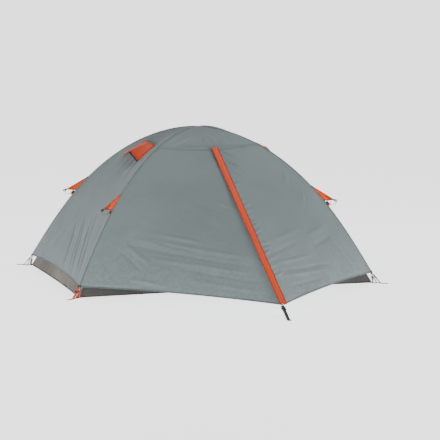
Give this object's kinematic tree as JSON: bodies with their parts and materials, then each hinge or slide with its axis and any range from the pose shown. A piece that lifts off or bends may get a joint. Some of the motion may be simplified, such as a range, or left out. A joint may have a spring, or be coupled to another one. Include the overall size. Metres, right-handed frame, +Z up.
{
  "type": "dome tent",
  "caption": "Pitched dome tent: crossing hoop poles, clipped inner tent, grey fly with a zipped vestibule, orange storm flap, vent hoods and guy wings.",
  "frame": {"origin": "middle of the underside of the floor sheet", "axes": "+X along the long side of the floor, towards the end on the right when facing the vestibule; -Y towards the vestibule; +Z up"},
  "size_m": [2.447, 3, 1.126],
  "materials": {
    "fly_cloth": "plain ripstop weave with a thin coating, soft sheen",
    "orange_cloth": "plain weave, bright orange, soft sheen",
    "wall_cloth": "coated taupe cloth, dull",
    "floor_cloth": "coated heavy cloth, dull",
    "inner_cloth": "thin breathable light grey cloth",
    "insect_mesh": "fine dark knitted mesh",
    "orange_webbing": "orange ribbed webbing",
    "black_webbing": "black ribbed webbing",
    "black_plastic": "moulded nylon, fine grain",
    "zip_tape": "black coil",
    "pole_tube": "satin anodised tube",
    "ferrule_metal": "drawn tube",
    "line_cord": "braided cord",
    "eyelet_metal": "nickel-plated eyelets"
  },
  "bodies": {
    "tent": {"floor_sheet": "floor_cloth", "bathtub_walls": "wall_cloth", "inner_lower_panels": "inner_cloth", "inner_mesh_panels": "insect_mesh", "inner_front_wall": "inner_cloth", "inner_door_zip": "zip_tape", "mesh_pocket": "insect_mesh", "lantern_loop": "black_webbing", "pole_a_sections": "pole_tube", "pole_b_sections": "pole_tube", "pole_a_ferrules": "ferrule_metal", "pole_b_ferrules": "ferrule_metal", "pole_a_shock_cord": "line_cord", "pole_b_shock_cord": "line_cord", "pole_tips": "black_plastic", "crossing_clip": "black_plastic", "canopy_clips": "black_plastic", "corner_webbing_orange": "orange_webbing", "corner_webbing_black": "black_webbing", "corner_grommets": "eyelet_metal", "fly_top_and_back": "fly_cloth", "fly_left_end": "fly_cloth", "fly_right_end": "fly_cloth", "vestibule_fixed_panel": "fly_cloth", "door_ridge_strip": "fly_cloth", "zip_fixed_half": "zip_tape", "fly_straps_orange": "orange_webbing", "fly_straps_black": "black_webbing", "strap_buckles": "black_plastic", "vestibule_strap": "black_webbing", "vestibule_buckle": "black_plastic", "back_tie_out": "black_webbing", "guy_wings": "orange_cloth", "guy_rings": "black_plastic", "guy_tabs": "orange_webbing", "guy_loops": "line_cord", "vent_hood_left": "orange_cloth", "vent_hood_right": "orange_cloth", "vent_mesh_left": "insect_mesh", "vent_mesh_right": "insect_mesh"},
    "vestibule_door": {"vestibule_door": "fly_cloth", "zip_door_half": "zip_tape"},
    "storm_flap": {"storm_flap": "orange_cloth"},
    "zip_slider": {"zip_slider": "black_plastic", "zip_pull": "orange_webbing"},
    "inner_door": {"inner_door": "inner_cloth"},
    "vent_stay_left": {"vent_stay_left": "black_plastic"},
    "vent_stay_right": {"vent_stay_right": "black_plastic"}
  },
  "joints": [
    {"name": "zip_slide", "type": "slide", "parent": "tent", "child": "zip_slider", "axis": [-0.013, 0.8671, 0.4979], "range_m": [0, 1.69]},
    {"name": "vestibule_door_swing", "type": "hinge", "parent": "tent", "child": "vestibule_door", "pos_m": [0.70931, -0.62511, 0.60011], "axis": [-0.4889, 0.4987, 0.7157], "range_deg": [0, 80]},
    {"name": "storm_flap_lift", "type": "hinge", "parent": "vestibule_door", "child": "storm_flap", "pos_m": [0.07403, -1.07083, 0.54447], "axis": [-0.013, 0.8671, 0.4979], "range_deg": [0, 40]},
    {"name": "inner_door_drop", "type": "hinge", "parent": "tent", "child": "inner_door", "pos_m": [0, -0.7116, 0.1385], "axis": [-1, 0, 0], "range_deg": [0, 62]},
    {"name": "vent_stay_fold_left", "type": "hinge", "parent": "tent", "child": "vent_stay_left", "pos_m": [-0.5354, -0.2114, 0.9038], "axis": [-1, 0, 0], "range_deg": [0, 12]},
    {"name": "vent_stay_fold_right", "type": "hinge", "parent": "tent", "child": "vent_stay_right", "pos_m": [0.5354, -0.2114, 0.9038], "axis": [-1, 0, 0], "range_deg": [0, 12]}
  ]
}
